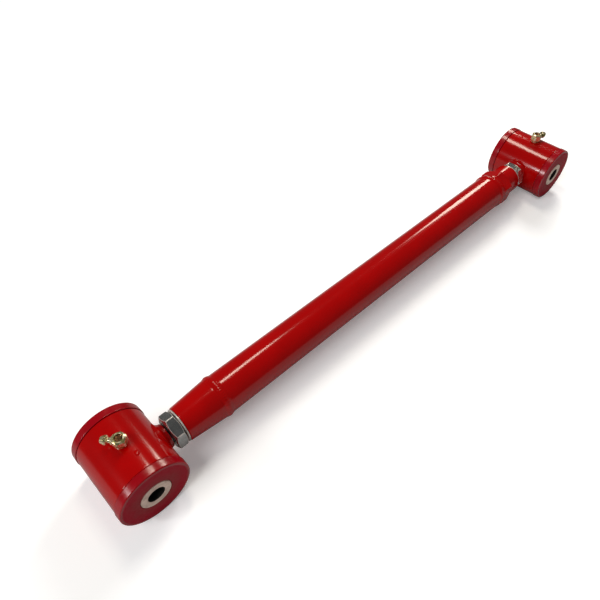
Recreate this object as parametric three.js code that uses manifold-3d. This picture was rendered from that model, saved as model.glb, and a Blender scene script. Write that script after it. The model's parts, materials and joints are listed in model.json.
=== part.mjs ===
// Adjustable tubular control arm for a car's rear suspension.
// Millimetres. X runs along the arm, Y along both bushing bolts, Z up. The arm lies on its
// bushing flanges, so the flanges touch z = 0 and every axis of the arm is at AXIS_HEIGHT.
import * as THREE from 'three';
import { mergeVertices } from 'three/addons/utils/BufferGeometryUtils.js';
import Module from 'manifold-3d';

const wasm = await Module();
wasm.setup();

// Whole arm
const EYE_SPAN = 484;
const GAP = 0.3;
const HALF_TURN = Math.PI;
const QUARTER_TURN = Math.PI / 2;
const DEGREE = Math.PI / 180;

// Facet counts round the turned pieces
const ROUND_SIDES = 40;
const SMALL_SIDES = 24;
const BALL_SIDES = 12;
const BALL_RINGS = 8;
const HEX_SIDES = 6;

// Bushing shell and its two polyurethane halves
const SHELL_RADIUS = 25.5;
const SHELL_WALL = 3.2;
const SHELL_HALF_LENGTH = 23.4;
const SHELL_EDGE = 0.3;
const FLANGE_RADIUS = 26;
const FLANGE_FACE = 30;
const FLANGE_ROUND = 1.6;
const FLANGE_EDGE = 0.5;
const HALVES_GAP = 0.4;
const AXIS_HEIGHT = FLANGE_RADIUS;

// Inner sleeve
const SLEEVE_RADIUS = 11.1;
const SLEEVE_HALF_LENGTH = 30.2;
const SLEEVE_EDGE = 0.4;
const BOLT_BORE_RADIUS = 6.2;

// Threaded stud (5/8 inch, 18 threads per inch), measured outwards from the eye centre
const THREAD_RADIUS = 7.94;
const THREAD_CLEARANCE = 0.31;
const SHANK_RADIUS = 8.6;
const SHANK_END = 28.5;
const STUD_INNER_END = 18;
const STUD_TIP = 85;
const STUD_TIP_CHAMFER = 1.2;

// Weld fillet between stud and shell
const FILLET_RADIUS = 13;
const FILLET_START = 24.2;
const FILLET_END = 28.3;
const FILLET_CREST = 0.35;
const FILLET_STEPS = 5;

// Jam nut and washer
const NUT_START = 29.6;
const NUT_THICKNESS = 8.4;
const NUT_ACROSS_FLATS = 23.8;
const NUT_CHAMFER = 1.5;
const NUT_BORE_CHAMFER = 0.9;
const WASHER_THICKNESS = 0.9;
const WASHER_RADIUS = 13.1;
const WASHER_BORE_RADIUS = 8.5;

// Tube and the adapters welded into it
const TUBE_RADIUS = 15.875;
const TUBE_WALL = 3.175;
const ADAPTER_START = 39.5;
const ADAPTER_MOUTH_RADIUS = 13.4;
const ADAPTER_MOUTH_CHAMFER = 0.5;
const SEAM = 72;
const SPIGOT_END = 88;
const GROOVE_HALF_WIDTH = 2.4;
const GROOVE_DEPTH = 2.2;
const BEAD_HALF_WIDTH = 2.6;
const BEAD_CREST_RADIUS = 16.7;
const ROOT_GAP = 0.9;

// Frame-end adapter: neck and hexagonal wrench collar
const NECK_RADIUS = 13.7;
const NECK_END = 55.2;
const COLLAR_START = 56.2;
const COLLAR_END = 65.8;
const COLLAR_ACROSS_FLATS = 29.8;
const COLLAR_CHAMFER = 1.3;

// Grease fitting: hexagonal elbow body, nipple and check ball
const FITTING_HOLE_RADIUS = 3.5;
const STEM_RADIUS = 3.2;
const STEM_BOTTOM = 22.7;
const ELBOW_BOTTOM = 27.2;
const ELBOW_TOP = 32.4;
const ELBOW_ACROSS_FLATS = 8.8;
const ELBOW_CROWN = 1.5;
const ELBOW_CROWN_RADIUS = 2.4;
const NIPPLE_HEIGHT = 29.8;
const SOCKET_RADIUS = 2.2;
const SOCKET_FLOOR = 2.9;
const NIPPLE_START = 3.2;
const NIPPLE_SHANK_RADIUS = 1.85;
const NIPPLE_NECK_RADIUS = 1.6;
const NIPPLE_SHANK_END = 6.2;
const NIPPLE_NECK_END = 7.2;
const NIPPLE_HEAD_RADIUS = 3.2;
const NIPPLE_HEAD_START = 8.4;
const NIPPLE_HEAD_END = 9.6;
const NIPPLE_TIP = 12.2;
const NIPPLE_TIP_RADIUS = 2.1;
const NIPPLE_BORE_RADIUS = 1.45;
const NIPPLE_BORE_FLOOR = 8;
const BALL_RADIUS = 1.1;
const BALL_POSITION = 10.9;

// How each end is turned: stud direction, jam nut clocking, nipple heading (degrees),
// and the arm's side that each bushing half faces, the half towards the end's own +Y first.
const ENDS = [
  {
    name: 'axle_end',
    x: -EYE_SPAN / 2,
    turn: 0,
    nutClock: 116,
    nippleHeading: 133,
    halves: ['left', 'right'],
  },
  {
    name: 'frame_end',
    x: EYE_SPAN / 2,
    turn: HALF_TURN,
    nutClock: 84,
    nippleHeading: 170,
    halves: ['right', 'left'],
  },
];
const COLLAR_CLOCK = 56;

// Finishes
const FINISHES = {
  paint: { color: 0xb00004, roughness: 0.22, metalness: 0.1 },
  polyurethane: { color: 0x7d1226, roughness: 0.42, metalness: 0 },
  sleeve: { color: 0xa89a84, roughness: 0.4, metalness: 0.8 },
  zinc: { color: 0xb4b8ba, roughness: 0.3, metalness: 1 },
  yellow_zinc: { color: 0xb89a4c, roughness: 0.3, metalness: 1 },
  ball: { color: 0xc8cacc, roughness: 0.15, metalness: 1 },
};

const group = new THREE.Group();
group.name = 'control_arm';

// Wraps a geometry as a solid for the boolean operations.
function solidOf(geometry) {
  const bare = new THREE.BufferGeometry();
  bare.setAttribute('position', geometry.getAttribute('position'));
  if (geometry.index) bare.setIndex(geometry.index);
  const merged = mergeVertices(bare, 1e-5);
  const mesh = new wasm.Mesh({
    numProp: 3,
    vertProperties: new Float32Array(merged.getAttribute('position').array),
    triVerts: new Uint32Array(merged.index.array),
  });
  return new wasm.Manifold(mesh);
}

// Turns a solid back into a geometry with flat facets.
function geometryOf(solid) {
  const mesh = solid.getMesh();
  const geometry = new THREE.BufferGeometry();
  geometry.setAttribute('position', new THREE.Float32BufferAttribute(mesh.vertProperties, 3));
  geometry.setIndex(new THREE.Uint32BufferAttribute(mesh.triVerts, 1));
  const flat = geometry.toNonIndexed();
  flat.computeVertexNormals();
  return flat;
}

// Turned piece about Y from [radius, height] points, given counter-clockwise.
// A profile that doesn't begin on the axis is closed on itself.
function turned(profile, sides = ROUND_SIDES) {
  const points = profile.map(([radius, height]) => new THREE.Vector2(radius, height));
  if (profile[0][0] > 0) points.push(points[0].clone());
  return new THREE.LatheGeometry(points, sides);
}

// The same about X, with heights running towards +X.
function turnedAlongX(profile, sides = ROUND_SIDES) {
  return turned(profile, sides).rotateZ(-QUARTER_TURN);
}

// The same about Z, with heights running upwards.
function turnedAlongZ(profile, sides = ROUND_SIDES) {
  return turned(profile, sides).rotateX(QUARTER_TURN);
}

// Hexagonal bar along X between two stations, one flat facing the clock angle (0 is +Y, 90 is +Z).
function hexBarAlongX(acrossFlats, start, end, clock) {
  const cornerRadius = acrossFlats / 2 / Math.cos(HALF_TURN / HEX_SIDES);
  const shape = new THREE.Shape();
  for (let corner = 0; corner < HEX_SIDES; corner += 1) {
    const angle = clock * DEGREE + ((corner + 0.5) * 2 * HALF_TURN) / HEX_SIDES;
    const point = [cornerRadius * Math.cos(angle), cornerRadius * Math.sin(angle)];
    if (corner === 0) shape.moveTo(...point);
    else shape.lineTo(...point);
  }
  shape.closePath();
  const bar = new THREE.ExtrudeGeometry(shape, { depth: end - start, bevelEnabled: false });
  // The shape's x, y and depth become the arm's Y, Z and X.
  const basis = new THREE.Matrix4().set(0, 0, 1, start, 1, 0, 0, 0, 0, 1, 0, 0, 0, 0, 0, 1);
  return bar.applyMatrix4(basis);
}

// Solid plug along X used to round the corners of a hexagon at one or both ends.
function cornerTurning(acrossFlats, start, end, chamferStart, chamferEnd) {
  const flat = acrossFlats / 2;
  const corner = flat / Math.cos(HALF_TURN / HEX_SIDES) + GAP;
  return turnedAlongX([
    [0, start],
    [flat - GAP, start],
    [corner, start + chamferStart],
    [corner, end - chamferEnd],
    [flat - GAP, end],
    [0, end],
  ]);
}

// Adds one named piece to the arm.
function addPiece(name, geometry, finish) {
  const material = new THREE.MeshStandardMaterial(FINISHES[finish]);
  material.name = finish;
  const mesh = new THREE.Mesh(geometry, material);
  mesh.name = name;
  group.add(mesh);
}

// Short round tube across the arm, with the grease fitting's hole in its top.
function bushingShell() {
  const inner = SHELL_RADIUS - SHELL_WALL;
  const tube = solidOf(turned([
    [inner, -SHELL_HALF_LENGTH],
    [SHELL_RADIUS - SHELL_EDGE, -SHELL_HALF_LENGTH],
    [SHELL_RADIUS, -SHELL_HALF_LENGTH + SHELL_EDGE],
    [SHELL_RADIUS, SHELL_HALF_LENGTH - SHELL_EDGE],
    [SHELL_RADIUS - SHELL_EDGE, SHELL_HALF_LENGTH],
    [inner, SHELL_HALF_LENGTH],
  ]));
  const hole = new THREE.CylinderGeometry(
    FITTING_HOLE_RADIUS, FITTING_HOLE_RADIUS, SHELL_RADIUS, SMALL_SIDES,
  ).rotateX(QUARTER_TURN).translate(0, 0, SHELL_RADIUS);
  return geometryOf(tube.subtract(solidOf(hole)));
}

// One flanged half of the bushing, on the +Y side.
function bushingHalf() {
  const bore = SLEEVE_RADIUS + GAP;
  const spigot = SHELL_RADIUS - SHELL_WALL - GAP;
  const flangeBack = SHELL_HALF_LENGTH + GAP;
  const roundedCorner = FLANGE_ROUND * (1 - Math.SQRT1_2);
  return turned([
    [bore, HALVES_GAP / 2],
    [spigot, HALVES_GAP / 2],
    [spigot, flangeBack],
    [FLANGE_RADIUS - FLANGE_EDGE, flangeBack],
    [FLANGE_RADIUS, flangeBack + FLANGE_EDGE],
    [FLANGE_RADIUS, FLANGE_FACE - FLANGE_ROUND],
    [FLANGE_RADIUS - roundedCorner, FLANGE_FACE - roundedCorner],
    [FLANGE_RADIUS - FLANGE_ROUND, FLANGE_FACE],
    [bore + FLANGE_EDGE, FLANGE_FACE],
    [bore, FLANGE_FACE - FLANGE_EDGE],
  ]);
}

// Steel tube the suspension bolt passes through.
function innerSleeve() {
  return turned([
    [BOLT_BORE_RADIUS, -SLEEVE_HALF_LENGTH + SLEEVE_EDGE],
    [BOLT_BORE_RADIUS + SLEEVE_EDGE, -SLEEVE_HALF_LENGTH],
    [SLEEVE_RADIUS - SLEEVE_EDGE, -SLEEVE_HALF_LENGTH],
    [SLEEVE_RADIUS, -SLEEVE_HALF_LENGTH + SLEEVE_EDGE],
    [SLEEVE_RADIUS, SLEEVE_HALF_LENGTH - SLEEVE_EDGE],
    [SLEEVE_RADIUS - SLEEVE_EDGE, SLEEVE_HALF_LENGTH],
    [BOLT_BORE_RADIUS + SLEEVE_EDGE, SLEEVE_HALF_LENGTH],
    [BOLT_BORE_RADIUS, SLEEVE_HALF_LENGTH - SLEEVE_EDGE],
  ]);
}

// The space the shell takes, with a gap, for coping whatever is welded to it.
function shellSpace() {
  const radius = SHELL_RADIUS + GAP;
  const length = 2 * SHELL_HALF_LENGTH;
  return solidOf(new THREE.CylinderGeometry(radius, radius, length, ROUND_SIDES));
}

// Stud with a plain shank by the shell and a thread beyond it.
function stud() {
  const blank = solidOf(turnedAlongX([
    [0, STUD_INNER_END],
    [SHANK_RADIUS, STUD_INNER_END],
    [SHANK_RADIUS, SHANK_END],
    [THREAD_RADIUS, SHANK_END + SHANK_RADIUS - THREAD_RADIUS],
    [THREAD_RADIUS, STUD_TIP - STUD_TIP_CHAMFER],
    [THREAD_RADIUS - STUD_TIP_CHAMFER, STUD_TIP],
    [0, STUD_TIP],
  ]));
  return geometryOf(blank.subtract(shellSpace()));
}

// Concave weld fillet round the stud, coped to the shell.
function studWeld() {
  const inner = SHANK_RADIUS + GAP;
  const crest = inner + FILLET_CREST;
  const profile = [[inner, STUD_INNER_END], [FILLET_RADIUS, STUD_INNER_END]];
  for (let step = 0; step <= FILLET_STEPS; step += 1) {
    const angle = (step / FILLET_STEPS) * QUARTER_TURN;
    profile.push([
      crest + (FILLET_RADIUS - crest) * (1 - Math.sin(angle)),
      FILLET_START + (FILLET_END - FILLET_START) * (1 - Math.cos(angle)),
    ]);
  }
  profile.push([inner, FILLET_END]);
  return geometryOf(solidOf(turnedAlongX(profile)).subtract(shellSpace()));
}

// Jam nut: hexagon with its corners turned off on both faces and a chamfered bore.
function jamNut(clock) {
  const end = NUT_START + NUT_THICKNESS;
  const bore = THREAD_RADIUS + THREAD_CLEARANCE;
  const hex = solidOf(hexBarAlongX(NUT_ACROSS_FLATS, NUT_START, end, clock));
  const turning = solidOf(cornerTurning(NUT_ACROSS_FLATS, NUT_START, end, NUT_CHAMFER, NUT_CHAMFER));
  const hole = solidOf(turnedAlongX([
    [0, NUT_START - GAP],
    [bore + NUT_BORE_CHAMFER + GAP, NUT_START - GAP],
    [bore, NUT_START + NUT_BORE_CHAMFER],
    [bore, end - NUT_BORE_CHAMFER],
    [bore + NUT_BORE_CHAMFER + GAP, end + GAP],
    [0, end + GAP],
  ]));
  return geometryOf(hex.intersect(turning).subtract(hole));
}

// Thin washer between the jam nut and the adapter's mouth.
function washer() {
  const start = NUT_START + NUT_THICKNESS + GAP;
  return turnedAlongX([
    [WASHER_BORE_RADIUS, start],
    [WASHER_RADIUS, start],
    [WASHER_RADIUS, start + WASHER_THICKNESS],
    [WASHER_BORE_RADIUS, start + WASHER_THICKNESS],
  ]);
}

// Inner end shared by both adapters: weld groove, then a spigot inside the tube.
function adapterRoot() {
  const spigot = TUBE_RADIUS - TUBE_WALL - GAP;
  return [
    [TUBE_RADIUS, SEAM - GROOVE_HALF_WIDTH],
    [TUBE_RADIUS - GROOVE_DEPTH, SEAM - ROOT_GAP / 2],
    [spigot, SEAM - ROOT_GAP / 2],
    [spigot, SPIGOT_END],
    [THREAD_RADIUS + THREAD_CLEARANCE, SPIGOT_END],
  ];
}

// Axle-end adapter: widens steadily from the jam nut to the tube.
function taperedAdapter() {
  return turnedAlongX([
    [THREAD_RADIUS + THREAD_CLEARANCE, ADAPTER_START],
    [ADAPTER_MOUTH_RADIUS - ADAPTER_MOUTH_CHAMFER, ADAPTER_START],
    [ADAPTER_MOUTH_RADIUS, ADAPTER_START + ADAPTER_MOUTH_CHAMFER],
    ...adapterRoot(),
  ]);
}

// Frame-end adapter: round neck, hexagonal wrench collar, then the weld groove.
function collaredAdapter() {
  const bore = THREAD_RADIUS + THREAD_CLEARANCE;
  const body = solidOf(turnedAlongX([
    [bore, ADAPTER_START],
    [NECK_RADIUS - ADAPTER_MOUTH_CHAMFER, ADAPTER_START],
    [NECK_RADIUS, ADAPTER_START + ADAPTER_MOUTH_CHAMFER],
    [NECK_RADIUS, NECK_END],
    [COLLAR_ACROSS_FLATS / 2 - GAP, COLLAR_START],
    [TUBE_RADIUS - GAP, COLLAR_END],
    [TUBE_RADIUS, COLLAR_END + COLLAR_CHAMFER],
    ...adapterRoot(),
  ]));
  const hex = solidOf(hexBarAlongX(COLLAR_ACROSS_FLATS, COLLAR_START, COLLAR_END, COLLAR_CLOCK));
  const turning = solidOf(cornerTurning(
    COLLAR_ACROSS_FLATS, COLLAR_START, COLLAR_END, COLLAR_CHAMFER, COLLAR_CHAMFER,
  ));
  const core = solidOf(new THREE.CylinderGeometry(
    COLLAR_ACROSS_FLATS / 2 - 2 * GAP, COLLAR_ACROSS_FLATS / 2 - 2 * GAP, EYE_SPAN, ROUND_SIDES,
  ).rotateZ(QUARTER_TURN));
  return geometryOf(body.add(hex.intersect(turning).subtract(core)));
}

// Weld bead filling the groove between adapter and tube.
function adapterWeld() {
  const inner = TUBE_RADIUS + GAP;
  const bottom = inner - GROOVE_DEPTH;
  const crestHalfWidth = BEAD_HALF_WIDTH / 2;
  return turnedAlongX([
    [bottom, SEAM - GAP / 2],
    [inner, SEAM - GROOVE_HALF_WIDTH + GAP / 2],
    [inner + GAP / 2, SEAM - BEAD_HALF_WIDTH],
    [BEAD_CREST_RADIUS - GAP / 2, SEAM - crestHalfWidth],
    [BEAD_CREST_RADIUS, SEAM],
    [BEAD_CREST_RADIUS - GAP / 2, SEAM + crestHalfWidth],
    [inner + GAP / 2, SEAM + BEAD_HALF_WIDTH],
    [inner, SEAM + GROOVE_HALF_WIDTH - GAP / 2],
    [bottom, SEAM + GAP / 2],
  ]);
}

// Main tube, with a weld groove at both ends.
function armTube() {
  const inner = TUBE_RADIUS - TUBE_WALL;
  const end = EYE_SPAN / 2 - SEAM - ROOT_GAP / 2;
  const groove = EYE_SPAN / 2 - SEAM - GROOVE_HALF_WIDTH;
  return turnedAlongX([
    [inner, -end],
    [TUBE_RADIUS - GROOVE_DEPTH, -end],
    [TUBE_RADIUS, -groove],
    [TUBE_RADIUS, groove],
    [TUBE_RADIUS - GROOVE_DEPTH, end],
    [inner, end],
  ]);
}

// Elbow body of the grease fitting: stem, hexagon, crown and the nipple's socket.
function fittingBody(heading) {
  const cornerRadius = ELBOW_ACROSS_FLATS / 2 / Math.cos(HALF_TURN / HEX_SIDES);
  const stem = solidOf(new THREE.CylinderGeometry(
    STEM_RADIUS, STEM_RADIUS, NIPPLE_HEIGHT - STEM_BOTTOM, SMALL_SIDES,
  ).rotateX(QUARTER_TURN).translate(0, 0, (NIPPLE_HEIGHT + STEM_BOTTOM) / 2));
  const hex = solidOf(new THREE.CylinderGeometry(
    cornerRadius, cornerRadius, ELBOW_TOP - ELBOW_BOTTOM, HEX_SIDES,
  ).rotateX(QUARTER_TURN).translate(0, 0, (ELBOW_TOP + ELBOW_BOTTOM) / 2));
  const crown = solidOf(turnedAlongZ([
    [0, NIPPLE_HEIGHT],
    [ELBOW_ACROSS_FLATS / 2 - GAP, NIPPLE_HEIGHT],
    [ELBOW_ACROSS_FLATS / 2 - GAP, ELBOW_TOP],
    [ELBOW_CROWN_RADIUS, ELBOW_TOP + ELBOW_CROWN],
    [0, ELBOW_TOP + ELBOW_CROWN],
  ], SMALL_SIDES));
  const socket = solidOf(turnedAlongX([
    [0, SOCKET_FLOOR],
    [SOCKET_RADIUS, SOCKET_FLOOR],
    [SOCKET_RADIUS, NIPPLE_TIP],
    [0, NIPPLE_TIP],
  ], SMALL_SIDES).rotateZ(QUARTER_TURN).translate(0, 0, NIPPLE_HEIGHT));
  const body = stem.add(hex).add(crown).subtract(socket);
  return geometryOf(body).rotateZ(heading * DEGREE - QUARTER_TURN);
}

// Grease nipple lying along its heading, with the check ball's bore in its tip.
function fittingNipple(heading) {
  return turnedAlongX([
    [0, NIPPLE_START],
    [NIPPLE_SHANK_RADIUS, NIPPLE_START],
    [NIPPLE_SHANK_RADIUS, NIPPLE_SHANK_END],
    [NIPPLE_NECK_RADIUS, NIPPLE_NECK_END],
    [NIPPLE_HEAD_RADIUS, NIPPLE_HEAD_START],
    [NIPPLE_HEAD_RADIUS, NIPPLE_HEAD_END],
    [NIPPLE_TIP_RADIUS, NIPPLE_TIP],
    [NIPPLE_BORE_RADIUS, NIPPLE_TIP],
    [NIPPLE_BORE_RADIUS, NIPPLE_BORE_FLOOR],
    [0, NIPPLE_BORE_FLOOR],
  ], SMALL_SIDES).translate(0, 0, NIPPLE_HEIGHT).rotateZ(heading * DEGREE);
}

// Ball that closes the nipple's mouth.
function checkBall(heading) {
  return new THREE.SphereGeometry(BALL_RADIUS, BALL_SIDES, BALL_RINGS)
    .translate(BALL_POSITION, 0, NIPPLE_HEIGHT)
    .rotateZ(heading * DEGREE);
}

addPiece('arm_tube', armTube().translate(0, 0, AXIS_HEIGHT), 'paint');

for (const end of ENDS) {
  // Every piece of an end is built with its eye at the origin and its stud towards +X.
  const place = (geometry) => geometry.rotateZ(end.turn).translate(end.x, 0, AXIS_HEIGHT);
  const adapter = end.name === 'axle_end' ? taperedAdapter() : collaredAdapter();
  const heading = end.nippleHeading;
  const [firstHalf, secondHalf] = end.halves.map((side) => `${end.name}_bushing_half_${side}`);
  addPiece(`${end.name}_adapter`, place(adapter), 'paint');
  addPiece(`${end.name}_adapter_weld`, place(adapterWeld()), 'paint');
  addPiece(`${end.name}_jam_nut`, place(jamNut(end.nutClock)), 'zinc');
  addPiece(`${end.name}_washer`, place(washer()), 'zinc');
  addPiece(`${end.name}_stud`, place(stud()), 'zinc');
  addPiece(`${end.name}_stud_weld`, place(studWeld()), 'paint');
  addPiece(`${end.name}_bushing_shell`, place(bushingShell()), 'paint');
  addPiece(firstHalf, place(bushingHalf()), 'polyurethane');
  addPiece(secondHalf, place(bushingHalf().rotateZ(HALF_TURN)), 'polyurethane');
  addPiece(`${end.name}_inner_sleeve`, place(innerSleeve()), 'sleeve');
  addPiece(`${end.name}_grease_elbow`, place(fittingBody(heading)), 'yellow_zinc');
  addPiece(`${end.name}_grease_nipple`, place(fittingNipple(heading)), 'yellow_zinc');
  addPiece(`${end.name}_check_ball`, place(checkBall(heading)), 'ball');
}

export default group;
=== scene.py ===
"""Adjustable tubular control arm: fine surfaces, materials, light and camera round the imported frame."""

import json
import math

import bmesh
import bpy
from mathutils import Matrix, Vector


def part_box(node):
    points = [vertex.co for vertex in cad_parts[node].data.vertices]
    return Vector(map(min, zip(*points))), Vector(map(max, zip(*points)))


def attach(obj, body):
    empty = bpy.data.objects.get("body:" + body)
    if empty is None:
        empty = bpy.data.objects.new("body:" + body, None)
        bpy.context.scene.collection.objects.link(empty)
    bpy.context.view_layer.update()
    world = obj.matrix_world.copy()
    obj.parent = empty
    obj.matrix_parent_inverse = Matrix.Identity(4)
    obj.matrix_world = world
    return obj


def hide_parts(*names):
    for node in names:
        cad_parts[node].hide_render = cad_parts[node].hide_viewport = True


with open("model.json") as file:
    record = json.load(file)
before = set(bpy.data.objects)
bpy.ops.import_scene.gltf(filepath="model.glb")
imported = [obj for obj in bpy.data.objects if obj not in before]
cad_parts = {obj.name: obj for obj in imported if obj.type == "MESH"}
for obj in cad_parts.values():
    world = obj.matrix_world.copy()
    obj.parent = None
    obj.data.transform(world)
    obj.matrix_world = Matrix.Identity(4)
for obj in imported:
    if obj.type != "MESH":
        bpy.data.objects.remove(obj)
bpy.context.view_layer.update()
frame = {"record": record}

MM = 0.001
TAU = 2 * math.pi


# ---------------------------------------------------------------- the frame's own sizes

ROW = frame["record"]
BODY_OF = {node: body for body, nodes in ROW["behaviour"]["bodies"].items() for node in nodes}


class End:
    """One end of the arm: its eye, and a local frame with the stud along +X from the eye's centre."""

    def __init__(self, name, thread_hand, nut_clock, nipple_heading):
        self.name = name
        self.thread_hand = thread_hand
        self.nut_clock = math.radians(nut_clock)
        self.nipple_heading = math.radians(nipple_heading)
        low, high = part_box(f"{name}_bushing_shell")
        self.centre = (low + high) / 2
        self.shell_radius = (high.z - low.z) / 2
        self.shell_half = (high.y - low.y) / 2
        self.side = 1 if self.centre.x < 0 else -1
        turn = 0 if self.side > 0 else math.pi
        self.place = Matrix.Translation(self.centre) @ Matrix.Rotation(turn, 4, "Z")

    def node(self, part):
        """The full name of one of this end's CAD nodes."""
        return f"{self.name}_{part}"

    def reach(self, part):
        """Nearest and farthest distance of a part from the eye's centre, along the stud."""
        low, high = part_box(self.node(part))
        near, far = sorted(abs(x - self.centre.x) for x in (low.x, high.x))
        return near, far

    def radius(self, part):
        """Largest radius of a part about the stud's axis."""
        low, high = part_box(self.node(part))
        return (high.z - low.z) / 2


AXLE = End("axle_end", thread_hand=1, nut_clock=116, nipple_heading=133)
FRAME_END = End("frame_end", thread_hand=-1, nut_clock=84, nipple_heading=170)
ENDS = (AXLE, FRAME_END)

TUBE_LOW, TUBE_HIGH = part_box("arm_tube")
TUBE_RADIUS = (TUBE_HIGH.z - TUBE_LOW.z) / 2
AXIS_HEIGHT = (TUBE_HIGH.z + TUBE_LOW.z) / 2

# Sizes that no box shows, as in the CAD model
TUBE_WALL = 3.175 * MM
BOLT_BORE_RADIUS = 6.2 * MM
THREAD_RADIUS = 7.94 * MM
NUT_FLAT = 11.9 * MM
COLLAR_FLAT = 14.9 * MM
COLLAR_CLOCK = math.radians(56)

# Details that only the visible surfaces have
THREAD_PITCH = 25.4 / 18 * MM
CHAMFER_SLOPE = math.tan(math.radians(30))
CORNER_BLEND = 0.12 * MM
# Width of the pale band on hexagon corners: wear and a painted highlight
CORNER_WEAR_AND_HIGHLIGHT = 0.28 * MM
CLEARANCE = 0.3 * MM


# ---------------------------------------------------------------- mesh building

# Each turns local +X, the axis of a turned piece, to another direction
ALONG_Y = Matrix.Rotation(math.radians(90), 4, "Z")
ALONG_Z = Matrix.Rotation(math.radians(-90), 4, "Y")
FILLET_STEPS = 5
SUPPORT = 0.35 * MM
LONGEST_TANGENT, LONGEST_SUPPORT = 0.45, 0.48
SHARP_ANGLE = math.radians(38)
FINE_SIDES = 144
SMALL_SIDES = 64


def fillet_points(before, corner, after, radius):
    """Points of a rounded corner, with one support point on each side to keep the flats flat."""
    u, v = before - corner, after - corner
    length_u, length_v = u.length, v.length
    u.normalize()
    v.normalize()
    half = u.angle(v) / 2
    tangent = min(radius / math.tan(half), LONGEST_TANGENT * length_u, LONGEST_TANGENT * length_v)
    radius = tangent * math.tan(half)
    centre = corner + (u + v).normalized() * (radius / math.sin(half))
    start = corner + u * tangent - centre
    stop = corner + v * tangent - centre
    sweep = start.angle_signed(stop)
    arc = []
    for step in range(FILLET_STEPS + 1):
        spoke = start.copy()
        spoke.rotate(Matrix.Rotation(-sweep * step / FILLET_STEPS, 2))
        arc.append(centre + spoke)
    first = corner + u * min(tangent + SUPPORT, LONGEST_SUPPORT * length_u)
    last = corner + v * min(tangent + SUPPORT, LONGEST_SUPPORT * length_v)
    return [first, *arc, last]


def rounded(corners):
    """Closed or axis-to-axis profile from (radius, station, fillet) corners, in metres."""
    points = [Vector((radius, station)) for radius, station, _ in corners]
    count = len(points)
    closed = corners[0][0] > 0
    profile = []
    for i, (radius, station, fillet) in enumerate(corners):
        at_end = not closed and i in (0, count - 1)
        if fillet <= 0 or at_end:
            profile.append(points[i])
        else:
            profile += fillet_points(points[i - 1], points[i], points[(i + 1) % count], fillet)
    return profile


def ring(inner, outer, start, stop, edge):
    """Profile of a ring with its four edges rounded."""
    corners = ((inner, start), (outer, start), (outer, stop), (inner, stop))
    return rounded([(radius, station, edge) for radius, station in corners])


def spread(start, stop, count):
    """Evenly spaced profile points from start up to, but not including, stop."""
    start, stop = Vector(start), Vector(stop)
    return [start.lerp(stop, i / count) for i in range(count)]


def hexagon_radius(flat, angle, clock, crispness=140):
    """Distance from the axis to a hexagon with slightly rounded corners, at an angle."""
    total = 0.0
    for side in range(6):
        facing = math.cos(angle - clock - side * math.pi / 3)
        if facing > 0:
            total += facing ** crispness
    return flat / total ** (1 / crispness)


def worn_and_lit_corner(flat):
    """Radius beyond which the corners of a hexagon get the pale edge material: rubbed wear and a painted
    highlight.
    """
    return flat / math.cos(math.pi / 6) - CORNER_WEAR_AND_HIGHLIGHT


def turned(name, outline, place, sides=FINE_SIDES):
    """Mesh object made by turning an outline of (radius, station) points about local X.

    The outline is a list, or a function that gives the list at an angle. It closes on itself,
    unless it starts and ends on the axis."""
    at_angle = outline if callable(outline) else lambda angle: outline
    columns = [at_angle(TAU * k / sides) for k in range(sides)]
    rows = len(columns[0])
    closed = columns[0][0].x > 0
    mesh = bpy.data.meshes.new(name)
    work = bmesh.new()
    rings = []
    for row in range(rows):
        if not closed and row in (0, rows - 1):
            rings.append([work.verts.new((columns[0][row].y, 0, 0))])
            continue
        ring = []
        for k in range(sides):
            angle = TAU * k / sides
            radius, station = columns[k][row]
            ring.append(work.verts.new((station, radius * math.cos(angle), radius * math.sin(angle))))
        rings.append(ring)
    followers = rings[1:] + rings[:1] if closed else rings[1:]
    for near, far in zip(rings, followers):
        for k in range(sides):
            n = (k + 1) % sides
            if len(near) == 1:
                work.faces.new((near[0], far[k], far[n]))
            elif len(far) == 1:
                work.faces.new((near[k], far[0], near[n]))
            else:
                work.faces.new((near[k], far[k], far[n], near[n]))
    bmesh.ops.recalc_face_normals(work, faces=work.faces)
    work.to_mesh(mesh)
    work.free()
    mesh.transform(place)
    mesh.shade_smooth()
    mesh.set_sharp_from_angle(angle=SHARP_ANGLE)
    piece = bpy.data.objects.new(name, mesh)
    bpy.context.scene.collection.objects.link(piece)
    return piece


def stands_for(piece, node, material):
    """Dresses a piece and lets it ride, in place of a CAD node, on that node's body."""
    piece.data.materials.clear()
    piece.data.materials.append(material)
    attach(piece, BODY_OF[node])
    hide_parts(node)


def dress_faces(piece, material, wanted):
    """Gives one more material to the faces that pass a test."""
    index = len(piece.data.materials)
    piece.data.materials.append(material)
    for patch in piece.data.polygons:
        if wanted(patch):
            patch.material_index = index


# ---------------------------------------------------------------- materials

NOISE_MIDDLE = (0.3, 0.7)


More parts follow.
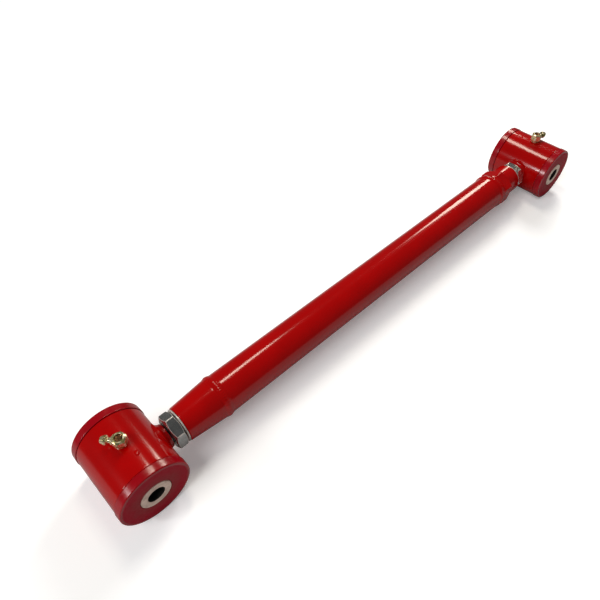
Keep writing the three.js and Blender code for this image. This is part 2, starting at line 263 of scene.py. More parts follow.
class Nodes:
    """Short forms for building a Principled material out of nodes."""

    def __init__(self, name):
        self.material = bpy.data.materials.new(name)
        self.material.use_nodes = True
        self.tree = self.material.node_tree
        self.shader = self.tree.nodes["Principled BSDF"]
        self.place = self.add("ShaderNodeTexCoord").outputs["Object"]

    def feed(self, socket, value):
        """Sets a socket to a plain value, or links another node's output to it."""
        if isinstance(value, bpy.types.NodeSocket):
            self.tree.links.new(value, socket)
        else:
            socket.default_value = value

    def add(self, kind, **settings):
        """Adds a node. A setting that names a property sets it, and any other feeds an input socket."""
        node = self.tree.nodes.new(kind)
        for key, value in settings.items():
            if hasattr(node, key):
                setattr(node, key, value)
            else:
                self.feed(node.inputs[key.replace("_", " ").title()], value)
        return node

    def set(self, **values):
        """Feeds sockets of the shader."""
        for key, value in values.items():
            self.feed(self.shader.inputs[key.replace("_", " ").title().replace("Ior", "IOR")], value)

    def noise(self, scale, detail=3.0, stretch=None):
        """Noise in the arm's own coordinates, one feature about 1 / scale metres wide."""
        vector = self.place
        if stretch:
            vector = self.add("ShaderNodeMapping", vector=self.place, scale=stretch).outputs["Vector"]
        return self.add("ShaderNodeTexNoise", vector=vector, scale=scale, detail=detail).outputs["Fac"]

    def ramp(self, factor, stops):
        """Colour ramp through (position, colour) stops."""
        node = self.add("ShaderNodeValToRGB", fac=factor)
        points = node.color_ramp.elements
        while len(points) < len(stops):
            points.new(0.5)
        for point, (position, colour) in zip(points, stops):
            point.position = position
            point.color = (*colour, 1)
        return node.outputs["Color"]

    def remap(self, value, before, after, kind="LINEAR"):
        """Maps one range of numbers onto another, held at both ends."""
        node = self.add("ShaderNodeMapRange", interpolation_type=kind, value=value)
        numbers = {"From Min": before[0], "From Max": before[1], "To Min": after[0], "To Max": after[1]}
        for name, number in numbers.items():
            node.inputs[name].default_value = number
        return node.outputs["Result"]

    def span(self, factor, low, high):
        """Maps the useful middle of a noise onto a range of numbers."""
        return self.remap(factor, NOISE_MIDDLE, (low, high))

    def blend(self, factor, first, second):
        """Mixes two colours."""
        node = self.add("ShaderNodeMix", data_type="RGBA", factor=factor)
        colours = [socket for socket in node.inputs if socket.type == "RGBA"]
        for socket, value in zip(colours, (first, second)):
            self.feed(socket, value if isinstance(value, bpy.types.NodeSocket) else (*value, 1))
        return [socket for socket in node.outputs if socket.type == "RGBA"][0]

    def math(self, operation, first, second=None):
        """Arithmetic on one or two numbers."""
        node = self.add("ShaderNodeMath", operation=operation)
        self.feed(node.inputs[0], first)
        if second is not None:
            self.feed(node.inputs[1], second)
        return node.outputs["Value"]

    def bump(self, height, depth, strength, under=None):
        """Bump of a real depth in metres, laid over another normal if one is given."""
        node = self.add("ShaderNodeBump", distance=depth, strength=strength)
        self.feed(node.inputs["Height"], height)
        if under:
            self.feed(node.inputs["Normal"], under)
        return node.outputs["Normal"]


def red_paint():
    """Glossy red powder coat: a clear skin with a faint orange peel over a matt base."""
    m = Nodes("red_powder_coat")
    tone = m.ramp(m.noise(45, detail=4), [(0.3, (0.345, 0.0, 0.0)), (0.7, (0.395, 0.0, 0.0))])
    m.set(base_color=tone, specular_ior_level=0.0)
    m.set(roughness=m.span(m.noise(160, detail=5), 0.4, 0.55))
    peel = m.bump(m.noise(420, detail=2), 0.03 * MM, 0.03)
    m.set(normal=m.bump(m.noise(110, detail=2), 0.12 * MM, 0.04, under=peel))
    m.set(coat_weight=1.0, coat_roughness=0.13, coat_ior=1.5, coat_normal=peel)
    return m.material


def polyurethane():
    """Cast polyurethane: dark crimson, slightly mottled, with a satin skin."""
    m = Nodes("crimson_polyurethane")
    tone = m.ramp(m.noise(70, detail=5), [(0.3, (0.27, 0.0, 0.003)), (0.7, (0.34, 0.0, 0.007))])
    m.set(base_color=tone)
    m.set(roughness=m.span(m.noise(300, detail=6), 0.17, 0.26))
    m.set(normal=m.bump(m.noise(500, detail=2), 0.04 * MM, 0.15))
    m.set(specular_ior_level=0.55)
    return m.material


def cut_polyurethane():
    """Flat end of a bushing: dull, and greyer towards the sleeve."""
    m = Nodes("dull_polyurethane_face")
    apart = m.add("ShaderNodeSeparateXYZ", vector=m.place)
    outward = m.math("SUBTRACT", m.math("ABSOLUTE", apart.outputs["X"]), abs(AXLE.centre.x))
    upward = m.math("SUBTRACT", apart.outputs["Z"], AXIS_HEIGHT)
    offset = m.math("SQRT", m.math("ADD", m.math("POWER", outward, 2.0), m.math("POWER", upward, 2.0)))
    mottle = m.math("MULTIPLY", m.noise(150, detail=6), 12 * MM)
    widest = 32 * MM
    tone = m.ramp(
        m.math("DIVIDE", m.math("ADD", offset, mottle), widest),
        [(0.4, (0.25, 0.030, 0.030)), (0.85, (0.36, 0.0, 0.014))],
    )
    m.set(base_color=tone, specular_ior_level=0.12)
    m.set(roughness=m.span(m.noise(400, detail=6), 0.5, 0.65))
    m.set(normal=m.bump(m.noise(1100, detail=5), 0.08 * MM, 0.4))
    return m.material


def sleeve_steel():
    """Cut steel tube: warm grey, dull, with a fine sawn grain."""
    m = Nodes("cut_sleeve_steel")
    tone = m.ramp(
        m.noise(220, detail=6),
        [(0.3, (0.56, 0.39, 0.31)), (0.5, (0.74, 0.55, 0.45)), (0.7, (0.88, 0.68, 0.57))],
    )
    m.set(base_color=tone, metallic=0.2)
    m.set(roughness=m.span(m.noise(500, detail=4), 0.36, 0.52))
    m.set(normal=m.bump(m.noise(2500, detail=3), 0.03 * MM, 0.5))
    return m.material


def dark_bore():
    """Near-black, dull surface inside the sleeve's bore."""
    m = Nodes("near_black_bore_steel")
    tone = m.ramp(m.noise(300), [(0.3, (0.010, 0.009, 0.008)), (0.7, (0.03, 0.026, 0.022))])
    m.set(base_color=tone, specular_ior_level=0.3)
    m.set(roughness=m.span(m.noise(600, detail=4), 0.5, 0.7))
    return m.material


def zinc_plate():
    """Bright zinc: cool grey metal with faint cloudy patches and fine scratches."""
    m = Nodes("bright_zinc_plate")
    tone = m.ramp(
        m.noise(260, detail=5),
        [(0.3, (0.52, 0.54, 0.54)), (0.6, (0.68, 0.69, 0.68)), (0.8, (0.74, 0.71, 0.66))],
    )
    m.set(base_color=tone, metallic=0.96)
    m.set(roughness=m.span(m.noise(600, detail=5), 0.13, 0.25))
    m.set(normal=m.bump(m.noise(1400, detail=4, stretch=(1, 6, 6)), 0.02 * MM, 0.4))
    return m.material


def pale_zinc_wear_and_highlight():
    """Rubbed zinc of the washers and the nuts' edges: paler and less mirror-like than the plating, partly
    wear and partly a painted highlight standing for edges that catch the light.
    """
    m = Nodes("rubbed_zinc_and_painted_highlight")
    # Pale, half-metallic tone: wear, and a painted highlight on edges and washers.
    tone = m.ramp(m.noise(500, detail=5), [(0.3, (0.62, 0.57, 0.52)), (0.7, (0.82, 0.77, 0.71))])
    m.set(base_color=tone, metallic=0.45)
    m.set(roughness=m.span(m.noise(900, detail=5), 0.22, 0.36))
    m.set(normal=m.bump(m.noise(1800, detail=4, stretch=(6, 1, 1)), 0.02 * MM, 0.4))
    return m.material


def yellow_zinc():
    """Yellow chromated zinc: gold with greenish and rosy interference patches."""
    m = Nodes("yellow_chromate_zinc")
    tone = m.ramp(
        m.noise(380, detail=3),
        [
            (0.34, (0.17, 0.21, 0.06)),
            (0.45, (0.70, 0.57, 0.26)),
            (0.56, (0.96, 0.87, 0.58)),
            (0.68, (0.72, 0.42, 0.27)),
        ],
    )
    m.set(base_color=tone, metallic=0.8)
    m.set(roughness=m.span(m.noise(800, detail=4), 0.18, 0.3))
    m.set(normal=m.bump(m.noise(1600, detail=3), 0.02 * MM, 0.25))
    return m.material


def rubbed_and_lit_chromate():
    """Edges of the fittings, pale: rubbed chromate and a painted highlight standing for the light they
    would reflect.
    """
    m = Nodes("rubbed_chromate_and_painted_highlight")
    # Pale gold stop: a painted highlight on the crown's rim and the hexagon's corners.
    tone = m.ramp(
        m.noise(420, detail=2),
        [(0.42, (0.24, 0.25, 0.08)), (0.5, (0.80, 0.66, 0.36)), (0.58, (1.0, 0.95, 0.78))],
    )
    m.set(base_color=tone, metallic=0.5)
    m.set(roughness=m.span(m.noise(900, detail=4), 0.2, 0.32))
    return m.material


def crown_dish():
    """Painted shade: dark, brownish chromate in the hollow of an elbow's crown, where shade falls."""
    m = Nodes("painted_shade_crown_chromate")
    tone = m.ramp(m.noise(500, detail=3), [(0.3, (0.16, 0.05, 0.02)), (0.7, (0.34, 0.18, 0.08))])
    m.set(base_color=tone, metallic=0.9)
    m.set(roughness=m.span(m.noise(900, detail=4), 0.2, 0.35))
    return m.material


def ball_steel():
    """Polished ball-bearing steel with a trace of grease haze."""
    m = Nodes("polished_ball_steel")
    tone = m.ramp(m.noise(900), [(0.3, (0.62, 0.62, 0.62)), (0.7, (0.74, 0.73, 0.70))])
    m.set(base_color=tone, metallic=1.0)
    m.set(roughness=m.span(m.noise(1200, detail=4), 0.06, 0.16))
    return m.material


def thread_steel():
    """Zinc on cut threads: darker than the bright plating, and oily."""
    m = Nodes("cut_thread_zinc")
    tone = m.ramp(m.noise(350, detail=5), [(0.3, (0.36, 0.37, 0.37)), (0.7, (0.55, 0.55, 0.53))])
    m.set(base_color=tone, metallic=1.0)
    m.set(roughness=m.span(m.noise(700, detail=4), 0.25, 0.4))
    m.set(normal=m.bump(m.noise(2200, detail=3), 0.02 * MM, 0.5))
    return m.material


FLOOR_HALF = 2.0
FLOOR_FADE = (0.9, 1.45)
FLOOR_BOUNCE = (0.7, 0.7, 0.7)
FAR_SIDE = (0.07, 0.2)
FAR_SIDE_GLOSS = (0.4, 0.06)
SHADOW_LIFT = 0.2


def pale_floor():
    """Seamless studio paper that fades out with distance.

    Reflections show it dull, and darker behind the arm. Bounced light meets a slightly darker paper,
    and the camera a slightly brighter one that glows faintly: painted light that lifts the floor's
    shadows."""
    m = Nodes("studio_paper")
    paper = m.ramp(m.noise(3), [(0.3, (0.93, 0.93, 0.93)), (0.7, (0.95, 0.95, 0.95))])
    across = m.add("ShaderNodeSeparateXYZ", vector=m.place).outputs["Y"]
    shade = m.remap(across, FAR_SIDE, FAR_SIDE_GLOSS, "SMOOTHSTEP")
    dull = m.ramp(shade, [(0.0, (0, 0, 0)), (1.0, (1, 1, 1))])
    path = m.add("ShaderNodeLightPath")
    seen = m.blend(path.outputs["Is Diffuse Ray"], paper, FLOOR_BOUNCE)
    m.set(base_color=m.blend(path.outputs["Is Glossy Ray"], seen, dull))
    m.set(roughness=0.9, specular_ior_level=0.1)
    # Glow to camera rays only: painted light that lightens the floor's shadows.
    m.set(emission_color=(1, 1, 1, 1))
    m.set(emission_strength=m.math("MULTIPLY", path.outputs["Is Camera Ray"], SHADOW_LIFT))
    distance = m.add("ShaderNodeVectorMath", operation="LENGTH", vector=m.place).outputs["Value"]
    m.set(alpha=m.remap(distance, FLOOR_FADE, (1.0, 0.0), "SMOOTHSTEP"))
    return m.material


PAINT = red_paint()
POLYURETHANE = polyurethane()
SLEEVE = sleeve_steel()
DARK_BORE = dark_bore()
DULL_FACE = cut_polyurethane()
ZINC = zinc_plate()
PALE_ZINC_WEAR_AND_HIGHLIGHT = pale_zinc_wear_and_highlight()
YELLOW_ZINC = yellow_zinc()
CHROMATE_WEAR_AND_HIGHLIGHT = rubbed_and_lit_chromate()
CROWN_DISH_SHADE = crown_dish()
BALL = ball_steel()
THREAD = thread_steel()


# ---------------------------------------------------------------- tube, adapters and their welds

SEAM = AXLE.reach("adapter_weld")[0] + 2.6 * MM
BEAD_HALF = 4.0 * MM
BEAD_CREST = AXLE.radius("adapter_weld")


def arm_tube():
    """Straight tube between the two weld seams."""
    start, stop = TUBE_LOW.x, TUBE_HIGH.x
    inner = TUBE_RADIUS - TUBE_WALL
    edge = 0.4 * MM
    profile = rounded([
        (inner, start, 0),
        (TUBE_RADIUS, start, edge),
        (TUBE_RADIUS, stop, edge),
        (inner, stop, 0),
    ])
    place = Matrix.Translation((0, 0, AXIS_HEIGHT))
    stands_for(turned("main_tube", profile, place), "arm_tube", PAINT)


def tapered_adapter(end):
    """Adapter that widens steadily from its mouth to the weld, with a rounded mouth."""
    start, stop = end.reach("adapter")
    mouth = 13.4 * MM
    bore = THREAD_RADIUS + CLEARANCE
    spigot = TUBE_RADIUS - TUBE_WALL - CLEARANCE
    profile = rounded([
        (bore, start, 0.5 * MM),
        (mouth, start, 0.7 * MM),
        (TUBE_RADIUS, SEAM - BEAD_HALF, 2 * MM),
        (TUBE_RADIUS, SEAM - CLEARANCE, 0),
        (spigot, SEAM - CLEARANCE, 0),
        (spigot, stop, 0.5 * MM),
        (bore, stop, 0),
    ])
    piece = turned(end.node("tube_adapter"), profile, end.place)
    stands_for(piece, end.node("adapter"), PAINT)


def collared_adapter(end):
    """Adapter with a round neck and a hexagonal wrench collar whose corners are turned off."""
    start, stop = end.reach("adapter")
    neck = 13.7 * MM
    face = COLLAR_FLAT - 0.5 * MM
    collar_start, collar_stop = 55.6 * MM, 65.6 * MM
    turned_off = end.radius("adapter") + 0.5 * MM
    run_out = 2.4 * MM
    steps = 8
    bore = THREAD_RADIUS + CLEARANCE
    spigot = TUBE_RADIUS - TUBE_WALL - CLEARANCE

    def outline(angle):
        flat = hexagon_radius(COLLAR_FLAT, angle, COLLAR_CLOCK)
        across = -math.log(math.exp(-flat / CORNER_BLEND) + math.exp(-turned_off / CORNER_BLEND))
        across *= CORNER_BLEND
        rise = (across - face) * CHAMFER_SLOPE
        fading = []
        for i in range(1, steps + 1):
            share = i / steps
            ease = share * share * (3 - 2 * share)
            fading.append((across + (TUBE_RADIUS - across) * ease, collar_stop + run_out * share, 0))
        return rounded([
            (bore, start, 0.5 * MM),
            (neck, start, 0.7 * MM),
            (neck, collar_start, 0.6 * MM),
            (face, collar_start, 0.15 * MM),
            (across, collar_start + rise, 0.3 * MM),
            (across, collar_stop, 0),
            *fading,
            (TUBE_RADIUS, SEAM - CLEARANCE, 0),
            (spigot, SEAM - CLEARANCE, 0),
            (spigot, stop, 0.5 * MM),
            (bore, stop, 0),
        ])

    piece = turned(end.node("tube_adapter"), outline, end.place, sides=288)
    stands_for(piece, end.node("adapter"), PAINT)


def adapter_weld(end):
    """Low, rippled weld bead over the seam, softened by the paint."""
    inside = TUBE_RADIUS - 0.8 * MM
    sunk = 0.03 * MM
    swell = 1.1
    ripples, ripple, waver = 58, 0.10, 0.07
    rows = 20
    profile = [Vector((inside, SEAM + BEAD_HALF)), Vector((inside, SEAM - BEAD_HALF))]
    for i in range(rows + 1):
        across = 2 * i / rows - 1
        rise = (BEAD_CREST - TUBE_RADIUS) * (1 + math.cos(math.pi * across)) / 2
        profile.append(Vector((TUBE_RADIUS - sunk + swell * rise, SEAM + BEAD_HALF * across)))

    def outline(angle):
        drift = math.sin(3 * angle + 0.7) + 0.6 * math.sin(7 * angle + 2.1)
        bead = []
        for radius, station in profile:
            across = (station - SEAM) / BEAD_HALF
            rise = max(radius - TUBE_RADIUS, 0)
            crescents = math.cos(ripples * angle + 2.6 * across * across)
            bead.append(Vector((radius + rise * (ripple * (crescents - 1) + waver * drift), station)))
        return bead

    piece = turned(end.node("seam_weld"), outline, end.place, sides=348)
    stands_for(piece, end.node("adapter_weld"), PAINT)


# ---------------------------------------------------------------- stud, weld, nut and washer

SHANK_RADIUS = 8.6 * MM
SHANK_END = 28.5 * MM


def stud(end):
    """Painted shank by the shell and a cut thread beyond it."""
    start = end.shell_radius - 3 * MM
    tip = end.reach("stud")[1]
    shank = turned(
        end.node("stud_shank"),
        rounded([
            (0, start, 0),
            (SHANK_RADIUS, start, 0.3 * MM),
            (SHANK_RADIUS, SHANK_END, 0.4 * MM),
            (0, SHANK_END, 0),
        ]),
        end.place,
        sides=96,
    )
    stands_for(shank, end.node("stud"), PAINT)

    steps = 10
    depth = 0.8 * MM
    crest_flat, flank_width = 0.1, 0.75
    run_out = 1.2 * MM
    thread_start = SHANK_END - 0.4 * MM
    count = round((tip - thread_start) / THREAD_PITCH * steps)
    profile = [Vector((0, thread_start))]
    profile += spread((THREAD_RADIUS, thread_start), (THREAD_RADIUS, tip), count)
    profile += [Vector((THREAD_RADIUS - 0.2 * MM, tip)), Vector((0, tip))]

    def outline(angle):
        cut = []
        for radius, station in profile:
            turn = (station / THREAD_PITCH - end.thread_hand * angle / TAU) % 1
            flank = min(max((abs(2 * turn - 1) - crest_flat) / flank_width, 0), 1)
            entry = min(max((tip - station) / run_out, 0), 1)
            cut.append(Vector((max(radius - depth * max(flank, 1 - entry), 0), station)))
        return cut

    thread = turned(end.node("stud_thread"), outline, end.place, sides=72)
    stands_for(thread, end.node("stud"), THREAD)


def stud_weld(end):
    """Concave fillet weld with ripples, its foot sunk into the shell."""
    crest = SHANK_RADIUS + 0.45 * MM
    foot = 13.0 * MM
    sunk, start, stop = 21.0 * MM, 24.2 * MM, 28.2 * MM
    ripples, ripple, waver = 34, 0.07 * MM, 0.2 * MM
    rows = 20
    inside = SHANK_RADIUS - 0.3 * MM
    profile = [Vector((inside, stop)), Vector((inside, sunk)), Vector((foot, sunk))]
    foot_rows = len(profile)
    for i in range(rows + 1):
        angle = math.pi / 2 * i / rows
        profile.append(Vector((
            crest + (foot - crest) * (1 - math.sin(angle)),
            start + (stop - start) * (1 - math.cos(angle)),
        )))

    def outline(angle):
        drift = math.sin(2 * angle + 1.1) + 0.5 * math.sin(5 * angle)
        bead = []
        for i, (radius, station) in enumerate(profile):
            bulge = math.sin(math.pi * max(i - foot_rows, 0) / rows)
            crescents = math.cos(ripples * angle + 1.8 * bulge)
            bead.append(Vector((radius + bulge * (ripple * crescents + waver * drift), station)))
        return bead

    piece = turned(end.node("eye_weld"), outline, end.place, sides=204)
    stands_for(piece, end.node("stud_weld"), PAINT)


def jam_nut(end):
    """Jam nut chamfered on both faces, so that every flat has arched ends, and pale at its edges: rubbed
    wear with a painted highlight.
    """
    start, stop = end.reach("jam_nut")
    face = NUT_FLAT - 0.8 * MM
    bore = THREAD_RADIUS + CLEARANCE
    sink = 0.9 * MM
    flat_lean, face_lean = 0.12, 0.8

    def outline(angle):
        across = hexagon_radius(NUT_FLAT, angle, end.nut_clock, crispness=60)
        rise = (across - face) * CHAMFER_SLOPE
        return rounded([
            (bore, start + sink, 0),
            (bore + sink, start, 0.1 * MM),
            (face, start, 0.2 * MM),
            (across, start + rise, 0.5 * MM),
            (across, stop - rise, 0.5 * MM),
            (face, stop, 0.2 * MM),
            (bore + sink, stop, 0.1 * MM),
            (bore, stop - sink, 0),
        ])

    piece = turned(end.node("hex_jam_nut"), outline, end.place, sides=360)
    stands_for(piece, end.node("jam_nut"), ZINC)

    def on_edge(patch):
        lean = abs(patch.normal.x)
        distance = math.hypot(patch.center.y, patch.center.z - AXIS_HEIGHT)
        on_corner = lean <= flat_lean and distance > worn_and_lit_corner(NUT_FLAT)
        return on_corner or flat_lean < lean < face_lean

    # Corners and chamfer edges painted pale: a painted highlight where they would catch light, as well as
    # wear.
    dress_faces(piece, PALE_ZINC_WEAR_AND_HIGHLIGHT, on_edge)


def washer(end):
    """Thin washer with rolled edges, pale all over: partly wear, partly a painted highlight."""
    start, stop = end.reach("washer")
    outer = end.radius("washer")
    inner = 8.5 * MM
    edge = 0.25 * MM
    piece = turned(end.node("thin_washer"), ring(inner, outer, start, stop, edge), end.place)
    # The whole washer is painted pale so that it reads as a bright ring: a painted highlight.
    stands_for(piece, end.node("washer"), PALE_ZINC_WEAR_AND_HIGHLIGHT)


# ---------------------------------------------------------------- bushing

def bushing_shell(end):
    """Short steel tube across the arm, its edges broken before painting."""
    inner = end.shell_radius - 3.2 * MM
    half = end.shell_half
    edge = 0.35 * MM
    profile = ring(inner, end.shell_radius, -half, half, edge)
    piece = turned(end.node("eye_shell"), profile, end.place @ ALONG_Y, sides=192)
    stands_for(piece, end.node("bushing_shell"), PAINT)


def paint_blister(end, clock, along):
    """Small paint-covered weld spatter on the shell."""
    radius, height = 2.0 * MM, 0.6 * MM
    foot = 0.4 * MM
    steps = 8

    def outline(angle):
        reach = radius * (1 + 0.14 * math.cos(2 * angle + 0.6) + 0.06 * math.sin(3 * angle))
        dome = [Vector((0, -foot)), Vector((reach, -foot))]
        for i in range(steps):
            rise = math.pi / 2 * i / steps
            dome.append(Vector((reach * math.cos(rise), height * math.sin(rise) ** 1.5)))
        return [*dome, Vector((0, height))]

    angle = math.radians(clock)
    spot = Vector((end.shell_radius * math.cos(angle), along, end.shell_radius * math.sin(angle)))
    place = Matrix.Translation(end.centre + spot) @ Matrix.Rotation(-angle, 4, "Y")
    piece = turned(end.node("weld_spatter"), outline, place, sides=32)
    stands_for(piece, end.node("bushing_shell"), PAINT)


def bushing_half(end, side):
    """Flanged polyurethane half with a rounded, satin rim and a dull face."""
    node = end.node(f"bushing_half_{side}")
    low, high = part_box(node)
    face = max(abs(low.y), abs(high.y))
    inner_end = min(abs(low.y), abs(high.y))
    rim = (high.z - low.z) / 2
    bore = end.radius("inner_sleeve") + CLEARANCE
    spigot = end.shell_radius - 3.5 * MM
    back = end.shell_half + CLEARANCE
    dull = rim - 2.1 * MM
    draft = 0.2 * MM
    face_depth = 0.6 * MM
    profile = rounded([
        (bore, inner_end, 0),
        (spigot, inner_end, 0.4 * MM),
        (spigot, back, 0),
        (rim, back, 0.45 * MM),
        (rim - draft, face, 1.5 * MM),
        (dull, face, 0),
        (bore, face, 0.5 * MM),
    ])
    heading = ALONG_Y if side == "left" else Matrix.Rotation(math.pi, 4, "Z") @ ALONG_Y
    place = Matrix.Translation(end.centre) @ heading
    piece = turned(end.node(f"flanged_half_{side}"), profile, place, sides=192)
    stands_for(piece, node, POLYURETHANE)

    def on_face(patch):
        offset = patch.center - end.centre
        return abs(offset.y) > face - face_depth and math.hypot(offset.x, offset.z) < dull

    dress_faces(piece, DULL_FACE, on_face)


def inner_sleeve(end):
    """Steel sleeve with chamfered ends and bore."""
    low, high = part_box(end.node("inner_sleeve"))
    half = (high.y - low.y) / 2
    outer = end.radius("inner_sleeve")
    edge = 0.4 * MM
    profile = ring(BOLT_BORE_RADIUS, outer, -half, half, edge)
    piece = turned(end.node("crush_sleeve"), profile, end.place @ ALONG_Y, sides=128)
    stands_for(piece, end.node("inner_sleeve"), SLEEVE)

    def in_bore(patch):
        offset = patch.center - end.centre
        return math.hypot(offset.x, offset.z) < BOLT_BORE_RADIUS + 0.1 * MM

    dress_faces(piece, DARK_BORE, in_bore)


# ---------------------------------------------------------------- grease fitting

ELBOW_FLAT = 4.4 * MM
NIPPLE_HEIGHT = 29.8 * MM
NIPPLE_START = 3.2 * MM
BOSS_END = ELBOW_FLAT + 0.9 * MM


def fitting_frame(end):
    """Local frame of the nipple: +X along its heading, at its height above the eye's centre."""
    heading = Matrix.Rotation(end.nipple_heading, 4, "Z")
    return end.place @ heading @ Matrix.Translation((0, 0, NIPPLE_HEIGHT))


def grease_elbow(end):
    """Hexagonal elbow body with a stem below, a boss for the nipple, a dished crown painted dark as
    shade, and edges painted pale as a highlight over wear.
    """
    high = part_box(end.node("grease_elbow"))[1]
    bottom = end.shell_radius - 0.6 * MM
    hex_start = 27.6 * MM
    top = high.z - end.centre.z
    crown = 3.2 * MM
    dish = 2.8 * MM
    stem = 3.2 * MM
    under = ELBOW_FLAT - 0.3 * MM
    rim_depth, rim_width = 0.25 * MM, 0.1 * MM

    def outline(angle):
        across = hexagon_radius(ELBOW_FLAT, angle, end.nipple_heading + math.pi / 2, crispness=90)
        return rounded([
            (0, bottom, 0),
            (stem, bottom, 0.1 * MM),
            (stem, hex_start, 0.2 * MM),
            (under, hex_start, 0.1 * MM),
            (across, hex_start + (across - under) * CHAMFER_SLOPE, 0.15 * MM),
            (across, top - (across - crown) * CHAMFER_SLOPE, 0.25 * MM),
            (crown, top, 0.2 * MM),
            (dish, top, 0.15 * MM),
            (dish - 0.8 * MM, top - 0.7 * MM, 0.3 * MM),
            (0, top - 0.8 * MM, 0),
        ])

    piece = turned(end.node("elbow_body"), outline, end.place @ ALONG_Z, sides=180)
    stands_for(piece, end.node("grease_elbow"), YELLOW_ZINC)

    def in_dish(patch):
        offset = patch.center - end.centre
        return offset.z > top - MM and math.hypot(offset.x, offset.y) < dish

    def on_edge(patch):
        offset = patch.center - end.centre
        distance = math.hypot(offset.x, offset.y)
        on_rim = offset.z > top - rim_depth and distance > dish - rim_width
        return on_rim or (offset.z > hex_start and distance > worn_and_lit_corner(ELBOW_FLAT))

    # The crown's hollow gets a dark material: painted shade.
    dress_faces(piece, CROWN_DISH_SHADE, in_dish)
    # The crown's rim and the hexagon's corners painted pale: a painted highlight, as well as wear.
    dress_faces(piece, CHROMATE_WEAR_AND_HIGHLIGHT, on_edge)

    boss_start, boss_radius = 2.0 * MM, 2.9 * MM
    boss = rounded([
        (0, boss_start, 0),
        (boss_radius, boss_start, 0.2 * MM),
        (boss_radius, BOSS_END, 0.35 * MM),
        (0, BOSS_END, 0),
    ])
    piece = turned(end.node("elbow_boss"), boss, fitting_frame(end), sides=SMALL_SIDES)
    stands_for(piece, end.node("grease_elbow"), YELLOW_ZINC)


def grease_nipple(end):
    """Nipple with the standard waisted neck, coned head and ball seat."""
    shank, neck, head, mouth, seat = 1.9 * MM, 1.6 * MM, 3.2 * MM, 2.1 * MM, 1.45 * MM
    tip, seat_floor = 12.2 * MM, 8.0 * MM
    profile = rounded([
        (0, NIPPLE_START, 0),
        (shank, NIPPLE_START, 0),
        (shank, 6.2 * MM, 0.4 * MM),
        (neck, 7.2 * MM, 0.7 * MM),
        (head, 8.4 * MM, 0.25 * MM),
        (head, 9.6 * MM, 0.4 * MM),
        (mouth, tip, 0.2 * MM),
        (seat, tip, 0.15 * MM),
        (seat, seat_floor, 0),
        (0, seat_floor, 0),
    ])
    piece = turned(end.node("nipple"), profile, fitting_frame(end), sides=SMALL_SIDES)
    stands_for(piece, end.node("grease_nipple"), YELLOW_ZINC)


def check_ball(end):
    """Ball in the nipple's mouth."""
    radius = 1.1 * MM
    station = 10.9 * MM
    steps = 16
    profile = []
    for i in range(steps + 1):
        angle = math.pi * i / steps
        across = 0 if i in (0, steps) else radius * math.sin(angle)
        profile.append(Vector((across, station - radius * math.cos(angle))))
    piece = turned(end.node("valve_ball"), profile, fitting_frame(end), sides=32)
    stands_for(piece, end.node("check_ball"), BALL)


# ---------------------------------------------------------------- assembly

arm_tube()
tapered_adapter(AXLE)
collared_adapter(FRAME_END)
for end in ENDS:
    adapter_weld(end)
    stud(end)
    stud_weld(end)
    jam_nut(end)
    washer(end)
    bushing_shell(end)
    for side in ("left", "right"):
        bushing_half(end, side)
    inner_sleeve(end)
    grease_elbow(end)
    grease_nipple(end)
    check_ball(end)
paint_blister(AXLE, clock=81, along=-11.4 * MM)


# ---------------------------------------------------------------- floor, light and camera

CAMERA_PLACE = Vector((-0.2699, -0.1928, AXIS_HEIGHT + 0.3438))
CAMERA_HEADING = math.radians(46.69)
CAMERA_TILT = math.radians(-48.86)
CAMERA_ROLL = math.radians(-0.29)
CAMERA_LENS = 33.13
WARM = (1.0, 0.93, 0.78)
WORLD_AMBIENT, WORLD_GLOSS, WORLD_BACKDROP = 0.12, 0.06, 0.95


def floor():
    """Pale floor that the flanges rest on."""
    mesh = bpy.data.meshes.new("studio_floor")
    signs = ((-1, -1), (1, -1), (1, 1), (-1, 1))
    corners = [(FLOOR_HALF * x, FLOOR_HALF * y, 0) for x, y in signs]
    mesh.from_pydata(corners, [], [(0, 1, 2, 3)])
    mesh.materials.append(pale_floor())
    plane = bpy.data.objects.new("studio_floor", mesh)
    bpy.context.scene.collection.objects.link(plane)


def softbox(name, place, size, radiance, tint=(1, 1, 1), roll=0, reflected=True):
    """Area light of a given brightness, facing the arm's middle, and seen in reflections or not."""
    light = bpy.data.lights.new(name, "AREA")
    light.shape = "RECTANGLE"
    light.size, light.size_y = size
    light.energy = radiance * math.pi * size[0] * size[1]
    light.color = tint
    lamp = bpy.data.objects.new(name, light)
    facing = (Vector((0, 0, AXIS_HEIGHT)) - Vector(place)).to_track_quat("-Z", "Y").to_matrix().to_4x4()
    lamp.matrix_world = Matrix.Translation(place) @ facing @ Matrix.Rotation(roll, 4, "Z")
    lamp.visible_glossy = reflected
    bpy.context.scene.collection.objects.link(lamp)


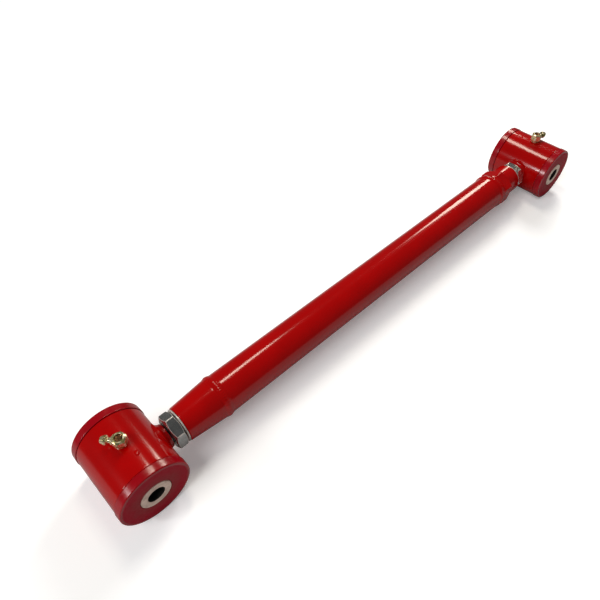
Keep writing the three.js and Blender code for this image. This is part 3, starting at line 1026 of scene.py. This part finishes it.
def surroundings():
    """Dim studio: nearly dark to reflections, pale where the camera looks past the floor."""
    world = bpy.data.worlds.new("studio")
    bpy.context.scene.world = world
    world.use_nodes = True
    tree = world.node_tree
    path = tree.nodes.new("ShaderNodeLightPath")
    shade = tree.nodes["Background"].outputs["Background"]
    tree.nodes["Background"].inputs["Strength"].default_value = WORLD_AMBIENT
    tree.nodes["Background"].inputs["Color"].default_value = (1, 1, 1, 1)
    for ray, strength in (("Is Glossy Ray", WORLD_GLOSS), ("Is Camera Ray", WORLD_BACKDROP)):
        light = tree.nodes.new("ShaderNodeBackground")
        light.inputs["Color"].default_value = (1, 1, 1, 1)
        light.inputs["Strength"].default_value = strength
        mix = tree.nodes.new("ShaderNodeMixShader")
        tree.links.new(path.outputs[ray], mix.inputs["Fac"])
        tree.links.new(shade, mix.inputs[1])
        tree.links.new(light.outputs["Background"], mix.inputs[2])
        shade = mix.outputs["Shader"]
    tree.links.new(shade, tree.nodes["World Output"].inputs["Surface"])


def camera():
    """Camera at the photograph's viewing angle."""
    data = bpy.data.cameras.new("camera")
    data.lens = CAMERA_LENS
    data.sensor_width = 36
    data.clip_start = 0.01
    eye = bpy.data.objects.new("camera", data)
    turn = (
        Matrix.Rotation(CAMERA_HEADING - math.pi / 2, 4, "Z")
        @ Matrix.Rotation(math.pi / 2 + CAMERA_TILT, 4, "X")
        @ Matrix.Rotation(CAMERA_ROLL, 4, "Z")
    )
    eye.matrix_world = Matrix.Translation(CAMERA_PLACE) @ turn
    bpy.context.scene.collection.objects.link(eye)
    bpy.context.scene.camera = eye


floor()
softbox("far_box", (1.256, 0.697, 0.865), (0.36, 0.36), 12, tint=WARM)
softbox("top_box", (0.203, 0.443, 1.218), (0.19, 0.46), 13, tint=WARM, roll=-0.445)
softbox("far_fill", (1.15, 0.5, 0.95), (0.5, 0.5), 13, reflected=False)
softbox("key_box", (-1.33, 0.36, 0.70), (0.2, 0.26), 26)
softbox("key_fill", (-1.6, -0.15, 1.8), (1.2, 1.2), 5.9, reflected=False)
surroundings()
camera()
bpy.context.scene.view_settings.view_transform = "Standard"
